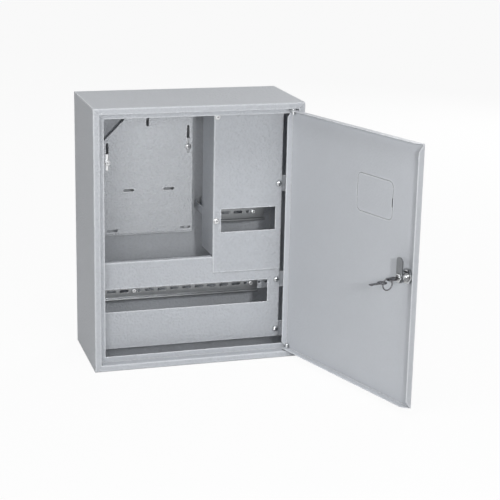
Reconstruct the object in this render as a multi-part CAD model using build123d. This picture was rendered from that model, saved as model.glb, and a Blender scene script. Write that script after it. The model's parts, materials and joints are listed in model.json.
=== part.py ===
from build123d import *

import math
import os

# Wall cabinet of folded sheet steel for a meter and two rows of module breakers.
# Millimetres. X to the right, Y from the front to the wall, Z up.
# The origin is the centre of the wall holes, on the outside of the back.

# Cabinet shell
cabinet_width = 400.0
cabinet_height = 500.0
cabinet_depth = 195.0
body_sheet = 1.2
bend_inside = 0.6
back_strip = 20.0
frame_band = 12.5
recess_depth = 18.0
lip_width = 10.5
corner_relief = 2.4
corner_relief_start = 4.0
mitre_width = 0.5
mitre_depth = 0.3
mitre_end = 1.5
wall_hole_radius = 4.0
wall_hole_inset = 30.0
knockout_radius = 14.0
knockout_pitch = 70.0
knockout_count = 3
score_width = 0.7
score_depth = 0.5

# Door tray, modelled shut and then turned open about its hinge line
door_gap = 2.0
door_setback = 0.5
door_sheet = 1.2
door_flange = 13.0
flange_relief = 14.0
door_open_angle = 107.8
hinge_from_recess = 9.0
hinge_from_face = 5.0

# Knock-out window in the door
window_width = 98.0
window_height = 70.0
window_corner = 11.0
window_from_edge = 123.0
window_above_middle = 121.0
window_groove = 1.2
groove_inside_depth = 0.6
groove_outside_depth = 0.25
window_bridge = 3.0
hinge_bridge_drop = 11.5
free_bridge_rise = 23.0
pry_notch_width = 3.0
pry_notch_height = 16.0
pry_notch_depth = 0.9
pry_notch_drop = 2.5

# Hinge pins and washers
pin_radius = 2.5
pin_head_clearance = 0.2
pin_head_height = 1.5
pin_reach = 8.0
pin_chamfer = 0.6
washer_rim = 2.5
washer_play = 0.05

# Fits
running_fit = 0.06
close_fit = 0.02
shank_fit = 0.15

# Lock
lock_from_edge = 25.0
lock_above_middle = 0.0
lock_head_radius = 12.0
lock_head_height = 3.0
lock_head_round = 1.2
lock_body_radius = 9.5
lock_body_flats = 16.0
lock_nut_flats = 24.0
lock_nut_height = 5.0
barrel_radius = 6.0
barrel_head_radius = 7.5
barrel_head_height = 2.0
barrel_tail_radius = 5.25
barrel_tail_flats = 9.0
cam_behind_lip = 0.8
cam_sheet = 2.5
cam_width = 15.0
cam_reach = 36.0
cam_tail = 9.0
cam_corner = 5.0
cam_chamfer = 5.5
cam_play = 0.05
cam_nut_flats = 14.0
cam_nut_height = 3.5
tail_past_nut = 1.0

# Keys and ring
key_sheet = 2.0
key_blade_width = 7.0
key_blade_in = 10.0
key_slot_fit = 0.1
key_collar = 1.5
key_bow_length = 21.0
key_bow_width = 16.0
key_bow_corner = 5.0
key_hole_radius = 3.5
key_web = 2.0
key_blade_out = 18.0
spare_key_bow_length = 15.0
key_stack_gap = 1.2
ring_radius = 10.0
ring_wire = 0.75
outer_key_slot_depth = 6.0

# Covers over the rails
cover_sheet = 1.0
cover_left_inset = 21.5
cover_right_inset = 26.0
cover_depth = 50.0
cover_fold = 10.0
lower_cover_base = 26.0
lower_cover_height = 171.5
upper_cover_overlap = 32.0
upper_cover_width = 136.0
upper_cover_drop = 16.0
partition_depth = 79.0
partition_clearance = 1.0
module_width = 17.5
window_opening = 45.0
lower_window_left = 7.5
lower_window_right_least = 20.0
lower_window_spare = 6.0
upper_window_left = 16.0
upper_window_right_least = 8.0
upper_window_spare = 3.0
lower_row_height = 122.5
upper_row_height = 268.5
upper_window_drop = 0.5

# Cover brackets on the side walls
tab_sheet = 1.5
tab_height = 31.0
tab_foot = 22.0
tab_behind_cover = 18.0
tab_clearance = 0.5
dome_screw_inset = 6.0
upper_dome_height = 336.0
lower_dome_high = 144.0
lower_dome_low = 42.0
clip_over_cover = 4.5
clip_play = 0.05

# Posts behind the left side of the upper cover
post_gap = 0.5
post_height = 16.0
post_tab = 11.0
post_foot = 8.0
post_screw_inset = 6.5
post_top_drop = 15.0

# DIN rails
rail_height = 35.0
rail_depth = 7.5
rail_sheet = 1.0
rail_web_height = 27.0
rail_behind_cover = 48.5
rail_slot_length = 17.5
rail_slot_width = 5.2
rail_slot_pitch = 25.0
rail_slot_edge = 8.0
lower_rail_left_past = 1.0
lower_rail_right_short = 4.0
lower_first_slot = 24.0
slots_left_of_screw_count = 2
upper_rail_left_past = 10.0
upper_rail_right_short = 5.0
upper_first_slot = 10.0
screw_off_slot = 5.5

# Brackets behind the rails
bracket_sheet = 1.5
bracket_height = 25.0
narrow_bracket_width = 16.0
narrow_bracket_foot = 6.0
wide_bracket_width = 50.0
wide_bracket_foot = 10.0
wide_bracket_screw = 18.0
wide_bracket_spare_hole = 14.0
spare_hole_radius = 2.6

# Meter panel
panel_sheet = 1.2
panel_left_inset = 40.0
panel_partition_gap = 10.0
panel_base = 219.0
panel_top_drop = 22.0
panel_stand_off = 25.8
panel_foot = 12.0
panel_lip = 4.0
panel_lip_bend = 1.8
panel_lip_inset = 5.0
panel_corner_cut = 83.0
panel_slot_width = 5.2
upright_slot_length = 55.0
right_slot_inset = 9.5
right_slot_drop = 73.0
left_slot_inset = 18.0
left_slot_drop = 103.0
top_slot_offset = 97.5
top_slot_length = 40.0
top_slot_drop = 6.0
short_slot_length = 21.5
middle_slot_height = 307.5
middle_slot_inset = 60.0
middle_slot_pitch = 80.0
low_slot_height = 227.5
low_slot_inset = 27.0
low_slot_right_inset = 14.5

# Screws, washers and nut plates
screw_radius = 2.4
pan_head_radius = 4.5
pan_head_height = 2.8
pan_head_round = 1.2
screw_length = 12.0
cross_width = 1.1
cross_length = 5.0
cross_depth = 1.4
dome_head_radius = 5.2
dome_head_height = 4.5
dome_head_round = 3.0
dome_slot_width = 1.2
dome_slot_depth = 1.4
washer_radius = 6.0
washer_sheet = 1.0
nut_plate_width = 13.0
nut_plate_height = 34.0
nut_plate_sheet = 3.0
right_clamp_down = 15.5
left_clamp_down = 11.5

# Earth stud
stud_radius = 3.0
stud_length = 22.0
stud_x = 100.0
stud_height = 38.0
stud_washer_radius = 7.0
stud_washer_sheet = 1.6
stud_nut_flats = 10.0
stud_nut_height = 5.0
stud_base_radius = 5.0
stud_base_height = 1.5

ON_BASE = (Align.CENTER, Align.CENTER, Align.MIN)
half_width = cabinet_width / 2
half_height = cabinet_height / 2
opening_x = half_width - frame_band
opening_z = half_height - frame_band
front_y = -cabinet_depth
floor_z = -half_height
back_inside = -body_sheet


def left_normal(start, end):
    """Unit normal on the left side of a line."""
    dx = end[0] - start[0]
    dy = end[1] - start[1]
    length = math.hypot(dx, dy)
    return (-dy / length, dx / length)


def shifted_points(points, distance):
    """Corner points of a polyline moved to its left by a distance."""
    shifted = []
    for index, (x, y) in enumerate(points):
        normals = []
        if index > 0:
            normals.append(left_normal(points[index - 1], points[index]))
        if index < len(points) - 1:
            normals.append(left_normal(points[index], points[index + 1]))
        first = normals[0]
        last = normals[-1]
        spread = 1 + first[0] * last[0] + first[1] * last[1]
        shifted.append((
            x + distance * (first[0] + last[0]) / spread,
            y + distance * (first[1] + last[1]) / spread,
        ))
    return shifted


def bent_sheet(points, sheet, inside_radius):
    """Section of a bent sheet whose middle runs through the points."""
    left = shifted_points(points, sheet / 2)
    right = shifted_points(points, -sheet / 2)
    left_radii = []
    right_radii = []
    for index in range(1, len(points) - 1):
        into = left_normal(points[index - 1], points[index])
        out = left_normal(points[index], points[index + 1])
        turns_left = into[0] * out[1] - into[1] * out[0] > 0
        left_radii.append(inside_radius if turns_left else inside_radius + sheet)
        right_radii.append(inside_radius + sheet if turns_left else inside_radius)
    outline = FilletPolyline(*left, radius=left_radii)
    outline += Line(left[-1], right[-1])
    outline += FilletPolyline(*right, radius=right_radii)
    outline += Line(right[0], left[0])
    return make_face(outline)


def upright(section, low, high):
    """Section in X and Y drawn up from low to high."""
    return extrude(Pos(0, 0, low) * section, high - low)


def lengthwise(section, left, right):
    """Section in Y and Z drawn along X from left to right."""
    return extrude(Plane.YZ.offset(left) * section, right - left)


def block(low, high):
    """Box between two opposite corners."""
    size = [b - a for a, b in zip(low, high)]
    middle = [(a + b) / 2 for a, b in zip(low, high)]
    return Pos(*middle) * Box(*size)


def facing_front(x, y, z):
    """Plane on a face that looks to the front, its normal pointing to the wall."""
    return Plane(origin=(x, y, z), x_dir=(-1, 0, 0), z_dir=(0, 1, 0))


def drilled(x, y, z, radius, depth):
    """Round cutter from the front, half of it on either side of the face."""
    return facing_front(x, y, z) * Cylinder(radius, 2 * depth)


def two_flats(radius, flats, height):
    """Round bar with two flats above and below."""
    return extrude(Circle(radius) & Rectangle(2 * radius, flats), height)


def hexagon(flats, bore, height):
    """Hexagon nut with a plain bore."""
    outer = extrude(RegularPolygon(flats / 2, 6, major_radius=False), height)
    return outer - Cylinder(bore, height, align=ON_BASE)


def pan_screw(length):
    """Cross-head screw, head in front of its seat at zero."""
    head = Cylinder(pan_head_radius, pan_head_height, align=ON_BASE)
    head = fillet(head.faces().sort_by(Axis.Z)[0].edges(), pan_head_round)
    bar = Box(cross_length, cross_width, 2 * cross_depth)
    head = head - bar - Rot(0, 0, 90) * bar
    shank = Pos(0, 0, pan_head_height) * Cylinder(screw_radius, length, align=ON_BASE)
    return Pos(0, 0, -pan_head_height) * (head + shank)


def dome_screw(length):
    """Screw with a high domed head and a slot."""
    head = Cylinder(dome_head_radius, dome_head_height, align=ON_BASE)
    head = fillet(head.faces().sort_by(Axis.Z)[0].edges(), dome_head_round)
    head = head - Box(2 * dome_head_radius, dome_slot_width, 2 * dome_slot_depth)
    shank = Pos(0, 0, dome_head_height) * Cylinder(screw_radius, length, align=ON_BASE)
    return Pos(0, 0, -dome_head_height) * (head + shank)


def plain_washer(radius, bore, height):
    """Flat ring standing on zero."""
    return Cylinder(radius, height, align=ON_BASE) - Cylinder(bore, height, align=ON_BASE)


nodes = {}

# Cabinet sides: one bent section along each of the four sides, mitred at the corners
side_points = [
    (back_strip, -body_sheet / 2),
    (body_sheet / 2, -body_sheet / 2),
    (body_sheet / 2, front_y + body_sheet / 2),
    (frame_band - body_sheet / 2, front_y + body_sheet / 2),
    (frame_band - body_sheet / 2, front_y + recess_depth + body_sheet / 2),
    (frame_band + lip_width, front_y + recess_depth + body_sheet / 2),
]
mitre_reach = max(back_strip, frame_band + lip_width) + body_sheet


def mitred(corners):
    """Prism through the depth of the cabinet over corner points in X and Z."""
    return extrude(Plane.XZ * make_face(Polyline(*corners, close=True)), cabinet_depth)


left_section = bent_sheet([(p - half_width, y) for p, y in side_points], body_sheet, bend_inside)
left_side = upright(left_section, -half_height, half_height) & mitred([
    (-half_width, -half_height),
    (mitre_reach - half_width, mitre_reach - half_height),
    (mitre_reach - half_width, half_height - mitre_reach),
    (-half_width, half_height),
])
top_section = bent_sheet([(y, half_height - p) for p, y in side_points], body_sheet, bend_inside)
top_side = lengthwise(top_section, -half_width, half_width) & mitred([
    (-half_width, half_height),
    (mitre_reach - half_width, half_height - mitre_reach),
    (half_width - mitre_reach, half_height - mitre_reach),
    (half_width, half_height),
])
body = left_side + top_side + mirror(left_side, Plane.YZ) + mirror(top_side, Plane.XY)
strip_overlap = back_strip / 2
body += block(
    (strip_overlap - half_width, -body_sheet, strip_overlap - half_height),
    (half_width - strip_overlap, 0, half_height - strip_overlap),
)

wall_hole_x = half_width - wall_hole_inset
wall_hole_z = half_height - wall_hole_inset
for x in (-wall_hole_x, wall_hole_x):
    for z in (-wall_hole_z, wall_hole_z):
        body -= drilled(x, 0, z, wall_hole_radius, 2 * body_sheet)

# Relief at the recess corners and the scored mitre lines on the band
for side in (-1, 1):
    for end in (-1, 1):
        body -= block(
            (
                side * opening_x - corner_relief,
                front_y + corner_relief_start,
                end * opening_z - corner_relief,
            ),
            (
                side * opening_x + corner_relief,
                front_y + recess_depth + 2 * body_sheet,
                end * opening_z + corner_relief,
            ),
        )
        score = Box((frame_band - 2 * mitre_end) * math.sqrt(2), 2 * mitre_depth, mitre_width)
        body -= (
            Pos(side * (half_width - frame_band / 2), front_y, end * (half_height - frame_band / 2))
            * Rot(0, -45 * side * end, 0)
            * score
        )

# Scored cable knock-outs in the bottom
for index in range(knockout_count):
    knockout_x = (index - (knockout_count - 1) / 2) * knockout_pitch
    ring_cut = Cylinder(knockout_radius + score_width / 2, 2 * score_depth)
    ring_cut -= Cylinder(knockout_radius - score_width / 2, 2 * score_depth)
    body -= Pos(knockout_x, -cabinet_depth / 2, floor_z) * ring_cut

# Hinge line of the door
door_face_y = front_y + door_setback
door_x = opening_x - door_gap
door_z = opening_z - door_gap
hinge_x = opening_x - hinge_from_recess
hinge_y = door_face_y + hinge_from_face
hinge_line = Axis((hinge_x, hinge_y, 0), (0, 0, 1))


def opened(shape):
    """Door piece turned from shut to where the door stands."""
    return shape.rotate(hinge_line, door_open_angle)


pin_length = body_sheet + door_gap + door_sheet + pin_reach
bend_root = front_y + body_sheet + bend_inside
pin_head_radius = hinge_y - bend_root - pin_head_clearance
for end, place in ((1, "upper"), (-1, "lower")):
    outward = Plane(origin=(hinge_x, hinge_y, end * opening_z), z_dir=(0, 0, end))
    body -= outward * Cylinder(pin_radius + close_fit, 4 * body_sheet)
    pin = Cylinder(pin_radius, pin_length, align=ON_BASE)
    pin = chamfer(pin.faces().sort_by(Axis.Z)[0].edges(), pin_chamfer)
    head = Cylinder(pin_head_radius, pin_head_height, align=ON_BASE)
    pin += Pos(0, 0, pin_length) * head
    nodes[place + "_hinge_pin"] = outward * Pos(0, 0, body_sheet - pin_length) * pin
    spacer = plain_washer(
        pin_radius + washer_rim, pin_radius + running_fit, door_gap - washer_play
    )
    nodes[place + "_hinge_washer"] = outward * Pos(0, 0, washer_play - door_gap) * spacer

nodes["enclosure_body"] = body

# Door tray
tray = block(
    (-door_x, door_face_y, -door_z),
    (door_x, door_face_y + door_flange, door_z),
)
tray = fillet(tray.faces().sort_by(Axis.Y)[0].edges(), bend_inside + door_sheet)
hollow = block(
    (door_sheet - door_x, door_face_y + door_sheet, door_sheet - door_z),
    (door_x - door_sheet, door_face_y + 2 * door_flange, door_z - door_sheet),
)
hollow = fillet(hollow.faces().sort_by(Axis.Y)[0].edges(), bend_inside)
door = tray - hollow

# Sloped ends of the folded edges
relief_root = door_face_y + bend_inside + door_sheet
relief_tip = door_face_y + door_flange + door_sheet
relief_reach = flange_relief * (relief_tip - relief_root) / (door_flange - bend_inside - door_sheet)
relief_band = 2 * door_sheet
for end in (-1, 1):
    slope = make_face(Polyline(
        (relief_root, end * door_z),
        (relief_tip, end * door_z),
        (relief_tip, end * (door_z - relief_reach)),
        close=True,
    ))
    door -= lengthwise(slope, -door_x - door_sheet, relief_band - door_x)
    door -= lengthwise(slope, door_x - door_sheet, door_x + door_sheet)
    across = make_face(Polyline(
        (-door_x, relief_root),
        (-door_x, relief_tip),
        (relief_reach - door_x, relief_tip),
        close=True,
    ))
    low_z = min(end * (door_z - relief_band), end * (door_z + door_sheet))
    high_z = max(end * (door_z - relief_band), end * (door_z + door_sheet))
    door -= upright(across, low_z, high_z)
    door -= Pos(hinge_x, hinge_y, end * door_z) * Cylinder(pin_radius + running_fit, 4 * door_sheet)

# Half-cut window: a groove on both faces with two bridges, and a notch to lever it out
window_x = window_from_edge - door_x
window_plane = facing_front(window_x, door_face_y, window_above_middle)
groove = RectangleRounded(window_width, window_height, window_corner)
groove -= RectangleRounded(
    window_width - 2 * window_groove,
    window_height - 2 * window_groove,
    window_corner - window_groove,
)
hinge_side = Pos(-window_width / 2, -hinge_bridge_drop)
free_side = Pos(window_width / 2, free_bridge_rise)
groove -= hinge_side * Rectangle(4 * window_groove, window_bridge)
groove -= free_side * Rectangle(4 * window_groove, window_bridge)
door -= window_plane * Pos(0, 0, door_sheet - groove_inside_depth) * extrude(groove, door_sheet)
door -= window_plane * Pos(0, 0, groove_outside_depth - door_sheet) * extrude(groove, door_sheet)
pry_notch = Pos((window_width - pry_notch_width) / 2, -pry_notch_drop) * Rectangle(
    pry_notch_width, pry_notch_height
)
door -= window_plane * Pos(0, 0, door_sheet - pry_notch_depth) * extrude(pry_notch, door_sheet)

# Lock: its own directions are the free edge, up, and into the cabinet
lock_x = lock_from_edge - door_x
lock_plane = facing_front(lock_x, door_face_y, lock_above_middle)
cam_front = recess_depth + body_sheet - door_setback + cam_behind_lip
cam_back = cam_front + cam_sheet
nut_back = cam_back + cam_nut_height
tail_end = nut_back + tail_past_nut
housing_end = cam_front - cam_play

door -= lock_plane * Pos(0, 0, -door_sheet) * two_flats(
    lock_body_radius + close_fit, lock_body_flats + 2 * close_fit, 3 * door_sheet
)
nodes["door"] = opened(door)

housing_head = Cylinder(lock_head_radius, lock_head_height, align=ON_BASE)
housing_head = fillet(housing_head.faces().sort_by(Axis.Z)[0].edges(), lock_head_round)
housing = Pos(0, 0, -lock_head_height) * housing_head
housing += two_flats(lock_body_radius, lock_body_flats, housing_end)
housing -= Pos(0, 0, -lock_head_height) * Cylinder(
    barrel_radius + running_fit, lock_head_height + housing_end, align=ON_BASE
)
housing -= Pos(0, 0, -lock_head_height) * Cylinder(
    barrel_head_radius + running_fit, barrel_head_height, align=ON_BASE
)
nodes["lock_housing"] = opened(lock_plane * housing)

lock_nut = Pos(0, 0, door_sheet) * hexagon(
    lock_nut_flats, lock_body_radius + close_fit, lock_nut_height
)
nodes["lock_nut"] = opened(lock_plane * lock_nut)

keyway_width = key_blade_width + 2 * key_slot_fit
keyway_height = key_sheet + 2 * key_slot_fit
barrel = Pos(0, 0, -lock_head_height) * Cylinder(
    barrel_head_radius, barrel_head_height - cam_play, align=ON_BASE
)
barrel += Pos(0, 0, -lock_head_height) * Cylinder(
    barrel_radius, lock_head_height + cam_front, align=ON_BASE
)
barrel += Pos(0, 0, cam_front) * two_flats(
    barrel_tail_radius, barrel_tail_flats, tail_end - cam_front
)
barrel -= Pos(0, 0, tail_end) * Box(keyway_width, keyway_height, 2 * (key_blade_in + key_slot_fit))
barrel -= Pos(0, 0, -lock_head_height) * Box(
    keyway_width, keyway_height, 2 * outer_key_slot_depth
)
nodes["lock_barrel"] = opened(lock_plane * barrel)

cam_outline = Pos(0, (cam_reach - cam_tail) / 2) * Rectangle(cam_width, cam_reach + cam_tail)
cam_top = cam_outline.vertices().group_by(Axis.Y)[-1].sort_by(Axis.X)
cam_outline = chamfer(cam_top[-1], cam_chamfer)
cam_top = cam_outline.vertices().group_by(Axis.Y)[-1].sort_by(Axis.X)
cam_outline = fillet(cam_top[0], cam_corner)
cam_outline = fillet(cam_outline.vertices().group_by(Axis.Y)[0], cam_corner)
cam = extrude(cam_outline, cam_sheet)
cam -= two_flats(
    barrel_tail_radius + close_fit, barrel_tail_flats + 2 * close_fit, cam_sheet
)
nodes["lock_cam"] = opened(lock_plane * Pos(0, 0, cam_front) * cam)

cam_nut = hexagon(cam_nut_flats, barrel_tail_radius + close_fit, cam_nut_height)
nodes["cam_nut"] = opened(lock_plane * Pos(0, 0, cam_back) * cam_nut)


def key_plate(blade_length, bow_length):
    """Flat key along Y: blade below zero, bow above it, hole at the far end."""
    shaft = blade_length + key_collar + key_bow_corner
    outline = Pos(0, shaft / 2 - blade_length) * Rectangle(key_blade_width, shaft)
    outline += Pos(0, (bow_length + key_collar) / 2) * RectangleRounded(
        key_bow_width, bow_length - key_collar, key_bow_corner
    )
    outline -= Pos(0, bow_length - key_web - key_hole_radius) * Circle(key_hole_radius)
    return extrude(outline, key_sheet / 2, both=True)


# The first key's bow starts at the end of the barrel, the ring hangs in its hole
lock_place = Pos(lock_x, door_face_y, lock_above_middle)
first_key = key_plate(key_blade_in, key_bow_length)
nodes["key_1"] = opened(lock_place * Pos(0, tail_end, 0) * first_key)

ring_inside = ring_radius - ring_wire
ring_drop = math.sqrt(ring_inside**2 - (key_web / 2) ** 2) - key_sheet / 2
ring_middle = tail_end + key_bow_length - key_web / 2
ring = Rot(0, 90, 0) * Torus(ring_radius, ring_wire)
ring_z = key_slot_fit - ring_drop
nodes["key_ring"] = opened(lock_place * Pos(0, ring_middle, ring_z) * ring)

# The spare key lies under the first one, on the outer side of the ring
spare_z = -key_sheet - key_stack_gap
ring_rise = spare_z - ring_z
ring_side = math.sqrt(ring_radius**2 - ring_rise**2)
wire_reach = (ring_wire * ring_radius + key_sheet / 2 * ring_rise) / ring_side
spare_hole = ring_middle + ring_side + key_hole_radius - wire_reach - key_slot_fit
spare_key = key_plate(key_blade_out, spare_key_bow_length)
spare_turn = Rot(0, 0, 180)
spare_root = spare_hole + spare_key_bow_length - key_web - key_hole_radius
nodes["key_2"] = opened(lock_place * Pos(0, spare_root, spare_z) * spare_turn * spare_key)

# Lower cover
cover_front = front_y + cover_depth
cover_left = cover_left_inset - half_width
cover_right = half_width - cover_right_inset
lower_low = floor_z + lower_cover_base
lower_high = lower_low + lower_cover_height
lower_cover = lengthwise(
    bent_sheet(
        [
            (cover_front + cover_fold, lower_low + cover_sheet / 2),
            (cover_front + cover_sheet / 2, lower_low + cover_sheet / 2),
            (cover_front + cover_sheet / 2, lower_high - cover_sheet / 2),
            (cover_front + cover_fold, lower_high - cover_sheet / 2),
        ],
        cover_sheet,
        bend_inside,
    ),
    cover_left,
    cover_right,
)
lower_row_z = floor_z + lower_row_height
lower_room = cover_right - cover_left - lower_window_left - lower_window_right_least
lower_modules = int((lower_room - lower_window_spare) // module_width)
lower_window_width = lower_modules * module_width + lower_window_spare
lower_window_x = cover_left + lower_window_left
lower_window_end = lower_window_x + lower_window_width
lower_cover -= block(
    (lower_window_x, cover_front - cover_sheet, lower_row_z - window_opening / 2),
    (lower_window_end, cover_front + 2 * cover_sheet, lower_row_z + window_opening / 2),
)

# Upper cover, lying on the front of the lower one, its left side folded back as a partition
upper_front = cover_front - cover_sheet
upper_low = lower_high - upper_cover_overlap
upper_high = half_height - upper_cover_drop
upper_left = cover_right - upper_cover_width
upper_cover = upright(
    bent_sheet(
        [
            (upper_left + cover_sheet / 2, upper_front + partition_depth),
            (upper_left + cover_sheet / 2, upper_front + cover_sheet / 2),
            (cover_right, upper_front + cover_sheet / 2),
        ],
        cover_sheet,
        bend_inside,
    ),
    upper_low,
    upper_high,
)
upper_cover -= block(
    (upper_left - cover_sheet, cover_front, upper_low - cover_sheet),
    (upper_left + 3 * cover_sheet, cover_front + partition_depth, lower_high + partition_clearance),
)
upper_row_z = floor_z + upper_row_height
upper_room = upper_cover_width - upper_window_left - upper_window_right_least
upper_modules = int((upper_room - upper_window_spare) // module_width)
upper_window_width = upper_modules * module_width + upper_window_spare
upper_window_x = upper_left + upper_window_left
upper_window_end = upper_window_x + upper_window_width
upper_window_z = upper_row_z - upper_window_drop
upper_cover -= block(
    (upper_window_x, upper_front - cover_sheet, upper_window_z - window_opening / 2),
    (upper_window_end, upper_front + 2 * cover_sheet, upper_window_z + window_opening / 2),
)

# Bent tabs on the right wall, each with a domed screw
dome_x = cover_right - dome_screw_inset
side_inside = half_width - body_sheet
tab_left = cover_right - tab_behind_cover


def wall_angle(side, reach_x, face, z):
    """Angle on a side wall: a foot along the wall and a tab across, its front at face."""
    section = bent_sheet(
        [
            (side * reach_x, face + tab_sheet / 2),
            (side * (side_inside - tab_sheet / 2), face + tab_sheet / 2),
            (side * (side_inside - tab_sheet / 2), face + tab_foot),
        ],
        tab_sheet,
        bend_inside,
    )
    return upright(section, z - tab_height / 2, z + tab_height / 2)


cover_tabs = (
    ("upper", upper_dome_height, upper_front),
    ("middle", lower_dome_high, cover_front),
    ("lower", lower_dome_low, cover_front),
)
for name, height, face in cover_tabs:
    tab_front = face + cover_sheet
    tab_z = floor_z + height
    tab = wall_angle(1, tab_left, tab_front, tab_z)
    tab -= drilled(dome_x, tab_front, tab_z, screw_radius + close_fit, 2 * tab_sheet)
    nodes["cover_tab_" + name] = tab
    nodes["dome_screw_" + name] = facing_front(dome_x, face, tab_z) * dome_screw(screw_length)
    cover_hole = drilled(dome_x, face, tab_z, screw_radius + shank_fit, 2 * cover_sheet)
    if face == upper_front:
        upper_cover -= cover_hole
    else:
        lower_cover -= cover_hole

# The bottom fold of the lower cover stops short of the lowest tab
lower_cover -= block(
    (tab_left - tab_clearance, cover_front + cover_sheet, lower_low - cover_sheet),
    (cover_right + cover_sheet, cover_front + 2 * cover_fold, floor_z + lower_dome_low),
)

# Clips on the left wall, in front of the edge of the lower cover
clip_reach = -cover_left - clip_over_cover
for name, height in (("upper", lower_dome_high), ("lower", lower_dome_low)):
    clip_front = cover_front - clip_play - tab_sheet
    nodes["cover_clip_" + name] = wall_angle(-1, clip_reach, clip_front, floor_z + height)

# Sheet posts from the back wall to the left side of the upper cover
post_left = upper_left + cover_sheet + post_gap
post_screw_x = upper_left + post_screw_inset
post_section = bent_sheet(
    [
        (post_left + post_tab, cover_front + tab_sheet / 2),
        (post_left + tab_sheet / 2, cover_front + tab_sheet / 2),
        (post_left + tab_sheet / 2, back_inside - tab_sheet / 2),
        (post_left + post_foot, back_inside - tab_sheet / 2),
    ],
    tab_sheet,
    bend_inside,
)
for name, z in (("upper", upper_high - post_top_drop), ("lower", upper_window_z)):
    post = upright(post_section, z - post_height / 2, z + post_height / 2)
    post -= drilled(post_screw_x, cover_front, z, screw_radius + close_fit, 2 * tab_sheet)
    nodes["cover_post_" + name] = post
    upper_cover -= drilled(post_screw_x, upper_front, z, screw_radius + shank_fit, 2 * cover_sheet)
    seat = facing_front(post_screw_x, upper_front - washer_sheet, z)
    nodes["cover_washer_" + name] = seat * plain_washer(
        washer_radius, screw_radius + shank_fit, washer_sheet
    )
    nodes["cover_screw_" + name] = seat * pan_screw(screw_length)

nodes["upper_cover"] = upper_cover
nodes["lower_cover"] = lower_cover

# DIN rails, their web against the brackets
rail_front = cover_front + rail_behind_cover
rail_back = rail_front + rail_depth
rail_web = (rail_web_height - rail_sheet) / 2


def rail_section(z):
    """Top-hat section round a height."""
    return bent_sheet(
        [
            (rail_front + rail_sheet / 2, z + rail_height / 2),
            (rail_front + rail_sheet / 2, z + rail_web),
            (rail_back - rail_sheet / 2, z + rail_web),
            (rail_back - rail_sheet / 2, z - rail_web),
            (rail_front + rail_sheet / 2, z - rail_web),
            (rail_front + rail_sheet / 2, z - rail_height / 2),
        ],
        rail_sheet,
        bend_inside,
    )


def slot_places(left, right, first):
    """Middles of the rail slots between two ends."""
    room = right - left - first - rail_slot_length / 2 - rail_slot_edge
    return [left + first + rail_slot_pitch * index for index in range(int(room // rail_slot_pitch) + 1)]


def slotted_rail(left, right, z, places):
    """Rail between two ends with its slots."""
    rail = lengthwise(rail_section(z), left, right)
    cutter = extrude(SlotOverall(rail_slot_length, rail_slot_width), 3 * rail_sheet, both=True)
    for x in places:
        rail -= facing_front(x, rail_back, z) * cutter
    return rail


def rail_bracket(middle, width, foot, z, holes):
    """Sheet channel between the back wall and a rail."""
    left = middle - width / 2
    right = middle + width / 2
    bracket = upright(
        bent_sheet(
            [
                (left + foot, back_inside - bracket_sheet / 2),
                (left + bracket_sheet / 2, back_inside - bracket_sheet / 2),
                (left + bracket_sheet / 2, rail_back + bracket_sheet / 2),
                (right - bracket_sheet / 2, rail_back + bracket_sheet / 2),
                (right - bracket_sheet / 2, back_inside - bracket_sheet / 2),
                (right - foot, back_inside - bracket_sheet / 2),
            ],
            bracket_sheet,
            bend_inside,
        ),
        z - bracket_height / 2,
        z + bracket_height / 2,
    )
    for x, radius in holes:
        bracket -= drilled(x, rail_back, z, radius, 2 * bracket_sheet)
    return bracket


lower_rail_x = lower_window_x - lower_rail_left_past
lower_rail_end = lower_window_end - lower_rail_right_short
lower_slots = slot_places(lower_rail_x, lower_rail_end, lower_first_slot)
nodes["lower_din_rail"] = slotted_rail(lower_rail_x, lower_rail_end, lower_row_z, lower_slots)

upper_rail_x = upper_window_x - upper_rail_left_past
upper_rail_end = upper_window_end - upper_rail_right_short
upper_slots = slot_places(upper_rail_x, upper_rail_end, upper_first_slot)
nodes["upper_din_rail"] = slotted_rail(upper_rail_x, upper_rail_end, upper_row_z, upper_slots)

screw_hole = screw_radius + close_fit
rail_seat = rail_back - rail_sheet
rail_screws = (
    ("lower_left", lower_slots[slots_left_of_screw_count] - screw_off_slot, lower_row_z),
    ("lower_right", lower_slots[-1] + screw_off_slot, lower_row_z),
    ("upper_left", upper_slots[0] + screw_off_slot, upper_row_z),
    ("upper_right", upper_slots[-1] + screw_off_slot, upper_row_z),
)
for name, x, z in rail_screws:
    nodes["rail_screw_" + name] = facing_front(x, rail_seat, z) * pan_screw(screw_length)
    holes = [(x, screw_hole)]
    if name == "lower_right":
        middle = x + wide_bracket_screw
        spare_x = middle + wide_bracket_spare_hole
        holes += [(middle, spare_hole_radius), (spare_x, spare_hole_radius)]
        bracket = rail_bracket(middle, wide_bracket_width, wide_bracket_foot, z, holes)
    else:
        bracket = rail_bracket(x, narrow_bracket_width, narrow_bracket_foot, z, holes)
    nodes["rail_bracket_" + name] = bracket

# Meter panel: a channel with its feet on the back wall, a lip along the bottom, one corner cut off
panel_left = panel_left_inset - half_width
panel_right = upper_left - panel_partition_gap
panel_front = back_inside - panel_stand_off
panel_low = floor_z + panel_base
panel_high = half_height - panel_top_drop
panel = upright(
    bent_sheet(
        [
            (panel_left + panel_foot, back_inside - panel_sheet / 2),
            (panel_left + panel_sheet / 2, back_inside - panel_sheet / 2),
            (panel_left + panel_sheet / 2, panel_front + panel_sheet / 2),
            (panel_right - panel_sheet / 2, panel_front + panel_sheet / 2),
            (panel_right - panel_sheet / 2, back_inside - panel_sheet / 2),
            (panel_right - panel_foot, back_inside - panel_sheet / 2),
        ],
        panel_sheet,
        bend_inside,
    ),
    panel_low,
    panel_high,
)
panel_lip_top = panel_low + panel_sheet
panel += block(
    (panel_left + panel_lip_inset, panel_front - panel_lip, panel_low),
    (panel_right - panel_lip_inset, panel_front + panel_sheet / 2, panel_lip_top),
)
panel_lip_root = ((panel_left + panel_right) / 2, panel_front, panel_lip_top)
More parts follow.
